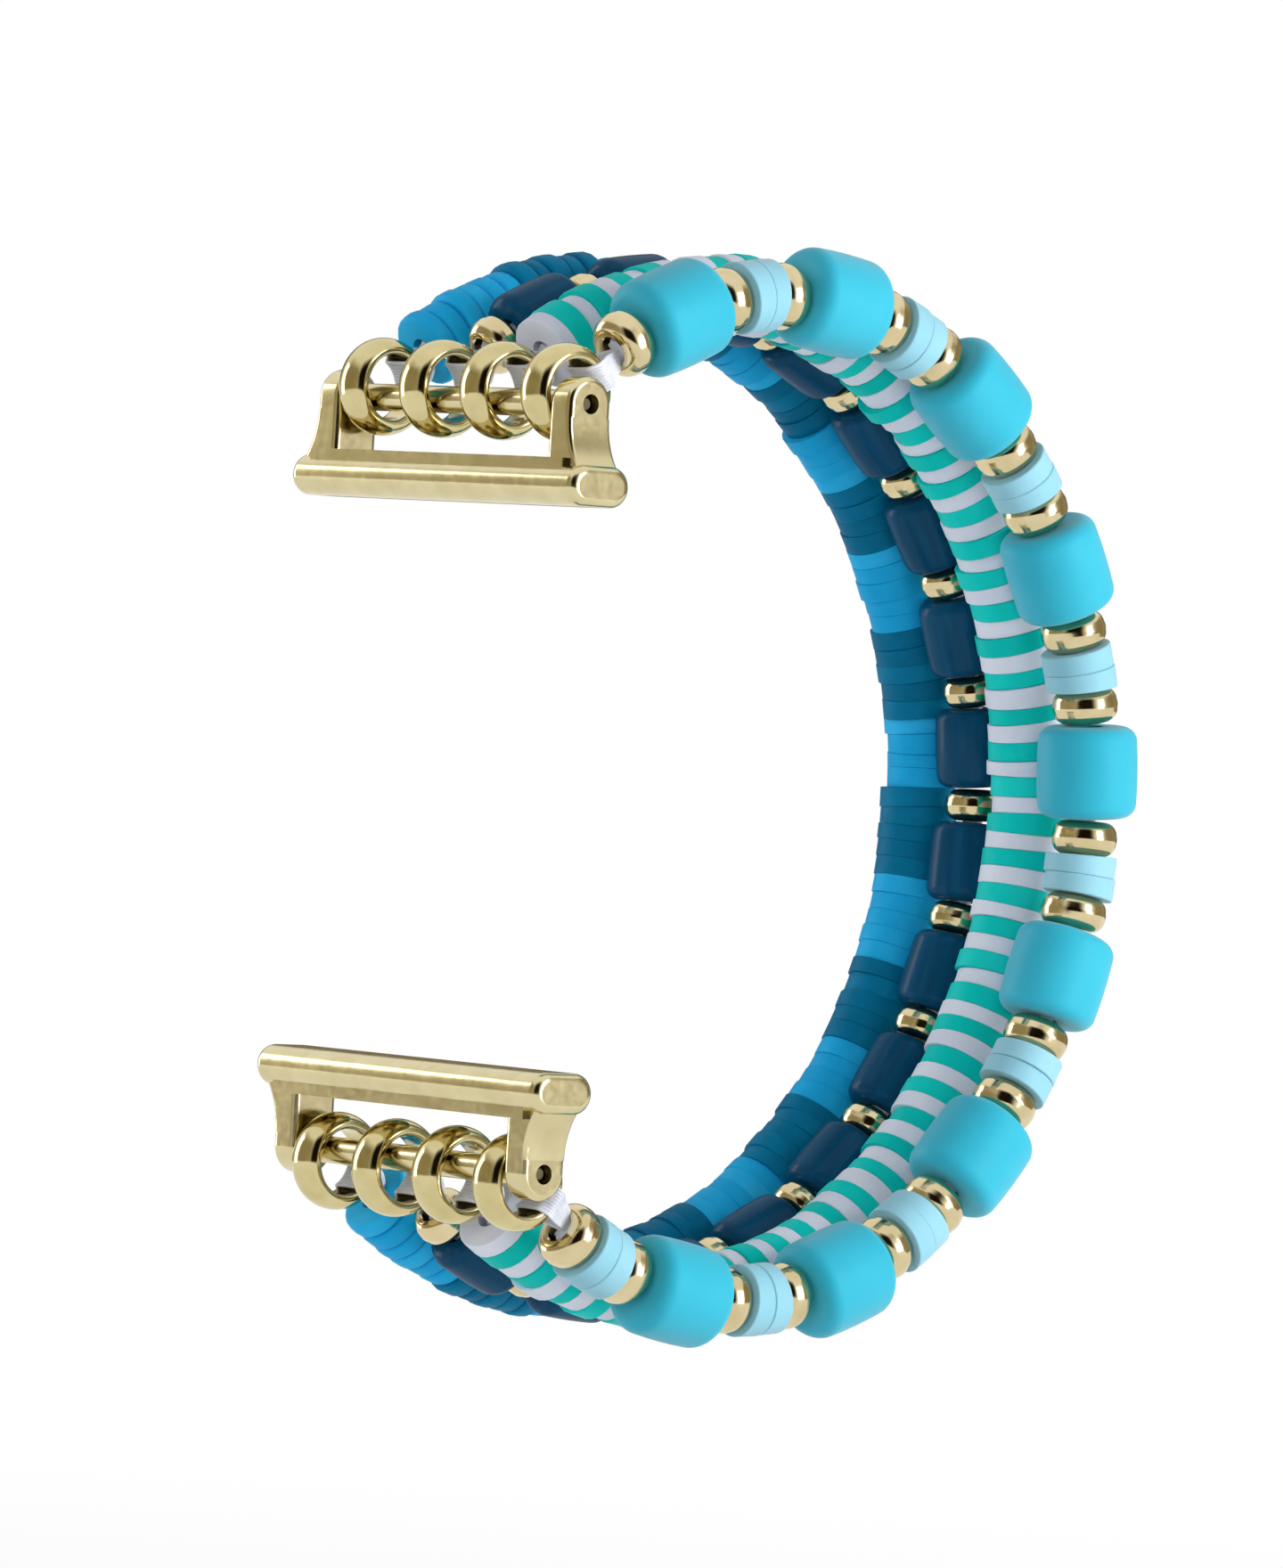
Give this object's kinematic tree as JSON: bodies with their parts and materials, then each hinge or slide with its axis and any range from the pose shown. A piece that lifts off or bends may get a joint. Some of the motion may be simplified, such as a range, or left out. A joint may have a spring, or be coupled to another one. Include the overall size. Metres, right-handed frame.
{
  "type": "bead watch band",
  "caption": "Stretch bead watch band: parallel elastic strands of discs, tubes and barrels, ringed on spring bars in slide-in gold connectors.",
  "frame": {"origin": "midway between the two spring bars, on the middle of the width", "axes": "+X across the width, +Y from the watch face side to the back of the wrist, +Z from the lower connector to the upper one"},
  "size_m": [0.0294, 0.0554, 0.0729],
  "materials": {
    "connector_gold": "polished pale gold plate on stainless steel",
    "ring_gold": "polished pale gold plate",
    "bar_gold": "polished pale gold plate",
    "bar_steel": "turned steel",
    "spring_steel": "drawn spring wire",
    "latch_steel": "satin steel",
    "azure_clay": "soft satin polymer clay",
    "teal_clay": "soft satin polymer clay",
    "denim_blue_gloss": "gloss acrylic",
    "spacer_gold": "polished gold plated resin",
    "green_clay": "soft satin polymer clay",
    "white_clay": "soft satin polymer clay",
    "turquoise_matte": "frosted matte acrylic",
    "pale_blue_clay": "slightly translucent satin",
    "elastic_white": "stretch elastic threads"
  },
  "bodies": {
    "upper_connector_body": {"upper_connector": "connector_gold", "upper_latch_spring": "spring_steel"},
    "upper_bar": {"upper_bar_tube": "bar_gold", "upper_bar_spring": "spring_steel"},
    "upper_tip_left": {"upper_bar_tip_left": "bar_steel"},
    "upper_tip_right": {"upper_bar_tip_right": "bar_steel"},
    "upper_latch": {"upper_latch_plunger": "latch_steel"},
    "lower_connector_body": {"lower_connector": "connector_gold", "lower_latch_spring": "spring_steel"},
    "lower_bar": {"lower_bar_tube": "bar_gold", "lower_bar_spring": "spring_steel"},
    "lower_tip_left": {"lower_bar_tip_left": "bar_steel"},
    "lower_tip_right": {"lower_bar_tip_right": "bar_steel"},
    "lower_latch": {"lower_latch_plunger": "latch_steel"},
    "upper_ring_1_body": {"upper_ring_1": "ring_gold"},
    "strand_1_upper": {"strand_1_azure_discs_upper": "azure_clay", "strand_1_teal_discs_upper": "teal_clay", "elastic_cord_1": "elastic_white"},
    "strand_1_back": {"strand_1_azure_discs_back": "azure_clay", "strand_1_teal_discs_back": "teal_clay"},
    "strand_1_lower": {"strand_1_azure_discs_lower": "azure_clay", "strand_1_teal_discs_lower": "teal_clay"},
    "upper_ring_2_body": {"upper_ring_2": "ring_gold"},
    "strand_2_upper": {"strand_2_blue_tubes_upper": "denim_blue_gloss", "strand_2_small_gold_spacers_upper": "spacer_gold", "elastic_cord_2": "elastic_white"},
    "strand_2_back": {"strand_2_blue_tubes_back": "denim_blue_gloss", "strand_2_small_gold_spacers_back": "spacer_gold"},
    "strand_2_lower": {"strand_2_blue_tubes_lower": "denim_blue_gloss", "strand_2_small_gold_spacers_lower": "spacer_gold"},
    "upper_ring_3_body": {"upper_ring_3": "ring_gold"},
    "strand_3_upper": {"strand_3_green_discs_upper": "green_clay", "strand_3_white_discs_upper": "white_clay", "elastic_cord_3": "elastic_white"},
    "strand_3_back": {"strand_3_green_discs_back": "green_clay", "strand_3_white_discs_back": "white_clay"},
    "strand_3_lower": {"strand_3_green_discs_lower": "green_clay", "strand_3_white_discs_lower": "white_clay"},
    "upper_ring_4_body": {"upper_ring_4": "ring_gold"},
    "strand_4_upper": {"strand_4_barrels_upper": "turquoise_matte", "strand_4_gold_spacers_upper": "spacer_gold", "strand_4_pale_discs_upper": "pale_blue_clay", "elastic_cord_4": "elastic_white"},
    "strand_4_back": {"strand_4_barrels_back": "turquoise_matte", "strand_4_gold_spacers_back": "spacer_gold", "strand_4_pale_discs_back": "pale_blue_clay"},
    "strand_4_lower": {"strand_4_barrels_lower": "turquoise_matte", "strand_4_gold_spacers_lower": "spacer_gold", "strand_4_pale_discs_lower": "pale_blue_clay"},
    "lower_ring_2_body": {"lower_ring_2": "ring_gold"},
    "lower_ring_1_body": {"lower_ring_1": "ring_gold"},
    "lower_ring_3_body": {"lower_ring_3": "ring_gold"},
    "lower_ring_4_body": {"lower_ring_4": "ring_gold"}
  },
  "joints": [
    {"name": "upper_bar_spin", "type": "hinge", "parent": "upper_connector_body", "child": "upper_bar", "pos_m": [0, 0, 0.0249], "axis": [1, 0, 0], "continuous": true},
    {"name": "upper_bar_tip_left_retract", "type": "slide", "parent": "upper_connector_body", "child": "upper_tip_left", "axis": [1, 0, 0], "range_m": [0, 0.0017], "stiffness_N_per_m": 400, "deforming": ["upper_bar_spring"]},
    {"name": "upper_bar_tip_right_retract", "type": "slide", "parent": "upper_connector_body", "child": "upper_tip_right", "axis": [-1, 0, 0], "range_m": [0, 0.0017], "stiffness_N_per_m": 400, "deforming": ["upper_bar_spring"]},
    {"name": "upper_latch_press", "type": "slide", "parent": "upper_connector_body", "child": "upper_latch", "axis": [0, -1, 0], "range_m": [0, 0.0005], "stiffness_N_per_m": 600, "deforming": ["upper_latch_spring"]},
    {"name": "lower_bar_spin", "type": "hinge", "parent": "lower_connector_body", "child": "lower_bar", "pos_m": [0, 0, -0.0249], "axis": [1, 0, 0], "continuous": true},
    {"name": "lower_bar_tip_left_retract", "type": "slide", "parent": "lower_connector_body", "child": "lower_tip_left", "axis": [1, 0, 0], "range_m": [0, 0.0017], "stiffness_N_per_m": 400, "deforming": ["lower_bar_spring"]},
    {"name": "lower_bar_tip_right_retract", "type": "slide", "parent": "lower_connector_body", "child": "lower_tip_right", "axis": [-1, 0, 0], "range_m": [0, 0.0017], "stiffness_N_per_m": 400, "deforming": ["lower_bar_spring"]},
    {"name": "lower_latch_press", "type": "slide", "parent": "lower_connector_body", "child": "lower_latch", "axis": [0, -1, 0], "range_m": [0, 0.0005], "stiffness_N_per_m": 600, "deforming": ["lower_latch_spring"]},
    {"name": "upper_ring_1_swing", "type": "hinge", "parent": "upper_connector_body", "child": "upper_ring_1_body", "pos_m": [0, 0, 0.0249], "axis": [1, 0, 0], "range_deg": [-30, 45]},
    {"name": "strand_1_stretch", "type": "slide", "parent": "upper_ring_1_body", "child": "strand_1_upper", "axis": [0, 0.7431, 0.6691], "range_m": [0, 0.005], "deforming": ["elastic_cord_1"]},
    {"name": "strand_1_flex_upper", "type": "hinge", "parent": "strand_1_upper", "child": "strand_1_back", "pos_m": [0, 0.04518, 0.02347], "axis": [1, 0, 0], "range_deg": [0, 40], "deforming": ["elastic_cord_1"]},
    {"name": "strand_1_flex_lower", "type": "hinge", "parent": "strand_1_back", "child": "strand_1_lower", "pos_m": [0, 0.04866, -0.01792], "axis": [1, 0, 0], "range_deg": [0, 40], "deforming": ["elastic_cord_1"]},
    {"name": "upper_ring_2_swing", "type": "hinge", "parent": "upper_connector_body", "child": "upper_ring_2_body", "pos_m": [0, 0, 0.0249], "axis": [1, 0, 0], "range_deg": [-30, 45], "stiffness_Nm_per_rad": 0.48},
    {"name": "strand_2_stretch", "type": "slide", "parent": "upper_ring_2_body", "child": "strand_2_upper", "axis": [0, 0.7431, 0.6691], "range_m": [0, 0.005], "stiffness_N_per_m": 3600, "deforming": ["elastic_cord_2"]},
    {"name": "strand_2_flex_upper", "type": "hinge", "parent": "strand_2_upper", "child": "strand_2_back", "pos_m": [0, 0.04518, 0.02347], "axis": [1, 0, 0], "range_deg": [0, 40], "stiffness_Nm_per_rad": 0.48, "deforming": ["elastic_cord_2"]},
    {"name": "strand_2_flex_lower", "type": "hinge", "parent": "strand_2_back", "child": "strand_2_lower", "pos_m": [0, 0.04866, -0.01792], "axis": [1, 0, 0], "range_deg": [0, 40], "stiffness_Nm_per_rad": 0.48, "deforming": ["elastic_cord_2"]},
    {"name": "upper_ring_3_swing", "type": "hinge", "parent": "upper_connector_body", "child": "upper_ring_3_body", "pos_m": [0, 0, 0.0249], "axis": [1, 0, 0], "range_deg": [-30, 45]},
    {"name": "strand_3_stretch", "type": "slide", "parent": "upper_ring_3_body", "child": "strand_3_upper", "axis": [0, 0.7431, 0.6691], "range_m": [0, 0.005], "deforming": ["elastic_cord_3"]},
    {"name": "strand_3_flex_upper", "type": "hinge", "parent": "strand_3_upper", "child": "strand_3_back", "pos_m": [0, 0.04518, 0.02347], "axis": [1, 0, 0], "range_deg": [0, 40], "deforming": ["elastic_cord_3"]},
    {"name": "strand_3_flex_lower", "type": "hinge", "parent": "strand_3_back", "child": "strand_3_lower", "pos_m": [0, 0.04866, -0.01792], "axis": [1, 0, 0], "range_deg": [0, 40], "deforming": ["elastic_cord_3"]},
    {"name": "upper_ring_4_swing", "type": "hinge", "parent": "upper_connector_body", "child": "upper_ring_4_body", "pos_m": [0, 0, 0.0249], "axis": [1, 0, 0], "range_deg": [-30, 45]},
    {"name": "strand_4_stretch", "type": "slide", "parent": "upper_ring_4_body", "child": "strand_4_upper", "axis": [0, 0.7431, 0.6691], "range_m": [0, 0.005], "deforming": ["elastic_cord_4"]},
    {"name": "strand_4_flex_upper", "type": "hinge", "parent": "strand_4_upper", "child": "strand_4_back", "pos_m": [0, 0.04518, 0.02347], "axis": [1, 0, 0], "range_deg": [0, 40], "deforming": ["elastic_cord_4"]},
    {"name": "strand_4_flex_lower", "type": "hinge", "parent": "strand_4_back", "child": "strand_4_lower", "pos_m": [0, 0.04866, -0.01792], "axis": [1, 0, 0], "range_deg": [0, 40], "deforming": ["elastic_cord_4"]},
    {"name": "lower_ring_2_roll", "type": "hinge", "parent": "strand_2_lower", "child": "lower_ring_2_body", "pos_m": [-0.00315, 0.00082, -0.02564], "axis": [1, 0, 0], "range_deg": [-20, 20], "stiffness_Nm_per_rad": 0.05},
    {"name": "lower_connector_turn", "type": "hinge", "parent": "lower_ring_2_body", "child": "lower_connector_body", "pos_m": [0, 0, -0.0249], "axis": [1, 0, 0], "range_deg": [-45, 30], "stiffness_Nm_per_rad": 0.05},
    {"name": "lower_ring_1_swing", "type": "hinge", "parent": "lower_connector_body", "child": "lower_ring_1_body", "pos_m": [-0.00945, 0, -0.0249], "axis": [1, 0, 0], "range_deg": [-30, 45], "stiffness_Nm_per_rad": 0.002},
    {"name": "lower_ring_3_swing", "type": "hinge", "parent": "lower_connector_body", "child": "lower_ring_3_body", "pos_m": [0.00315, 0, -0.0249], "axis": [1, 0, 0], "range_deg": [-30, 45], "stiffness_Nm_per_rad": 0.002},
    {"name": "lower_ring_4_swing", "type": "hinge", "parent": "lower_connector_body", "child": "lower_ring_4_body", "pos_m": [0.00945, 0, -0.0249], "axis": [1, 0, 0], "range_deg": [-30, 45], "stiffness_Nm_per_rad": 0.002}
  ],
  "couplings": [
    {"joint": "upper_ring_1_swing", "follows": "upper_ring_2_swing", "ratio": 1},
    {"joint": "strand_1_stretch", "follows": "strand_2_stretch", "ratio": 1},
    {"joint": "strand_1_flex_upper", "follows": "strand_2_flex_upper", "ratio": 1},
    {"joint": "strand_1_flex_lower", "follows": "strand_2_flex_lower", "ratio": 1},
    {"joint": "upper_ring_3_swing", "follows": "upper_ring_2_swing", "ratio": 1},
    {"joint": "strand_3_stretch", "follows": "strand_2_stretch", "ratio": 1},
    {"joint": "strand_3_flex_upper", "follows": "strand_2_flex_upper", "ratio": 1},
    {"joint": "strand_3_flex_lower", "follows": "strand_2_flex_lower", "ratio": 1},
    {"joint": "upper_ring_4_swing", "follows": "upper_ring_2_swing", "ratio": 1},
    {"joint": "strand_4_stretch", "follows": "strand_2_stretch", "ratio": 1},
    {"joint": "strand_4_flex_upper", "follows": "strand_2_flex_upper", "ratio": 1},
    {"joint": "strand_4_flex_lower", "follows": "strand_2_flex_lower", "ratio": 1},
    {"joint": "lower_ring_1_swing", "follows": "lower_connector_turn", "ratio": -1},
    {"joint": "lower_ring_3_swing", "follows": "lower_connector_turn", "ratio": -1},
    {"joint": "lower_ring_4_swing", "follows": "lower_connector_turn", "ratio": -1}
  ]
}
